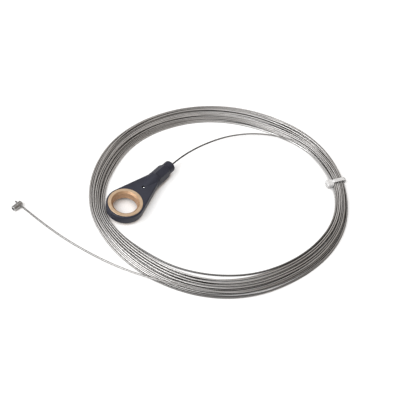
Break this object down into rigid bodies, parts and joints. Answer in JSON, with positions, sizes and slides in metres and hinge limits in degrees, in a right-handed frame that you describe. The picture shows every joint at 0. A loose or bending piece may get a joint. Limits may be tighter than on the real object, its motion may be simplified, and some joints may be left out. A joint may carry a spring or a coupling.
{
  "type": "measuring rope with swivel eye",
  "caption": "Measuring rope of a draw-wire length sensor: black swivelling eye with a plain bush, tied coil of thin wire rope and a clamped barrel nipple on its free end.",
  "frame": {"origin": "centre of the eye's bore, halfway through the bush", "axes": "+X along the neck towards the rope, +Z along the bore, up from the surface it lies on"},
  "size_m": [0.2347, 0.2169, 0.013],
  "materials": {
    "black_plastic": "fine moulded satin",
    "bronze": "matt sintered bronze",
    "steel": "turned",
    "dark_steel": "blackened",
    "rope_steel": "drawn stranded wire",
    "white_nylon": "natural nylon, slightly translucent"
  },
  "bodies": {
    "rope": {"swivel_ferrule": "steel", "rope_lead": "rope_steel", "rope_coil": "rope_steel", "rope_tail": "rope_steel", "cable_tie": "white_nylon", "end_nipple": "steel", "nipple_screw": "dark_steel"},
    "eye": {"eye_body": "black_plastic", "eye_bush": "bronze", "gland_nut": "black_plastic", "thrust_washer": "steel"}
  },
  "joints": [
    {"name": "eye_swivel", "type": "hinge", "parent": "rope", "child": "eye", "pos_m": [0.045, 0, 0], "axis": [1, 0, 0], "continuous": true}
  ]
}
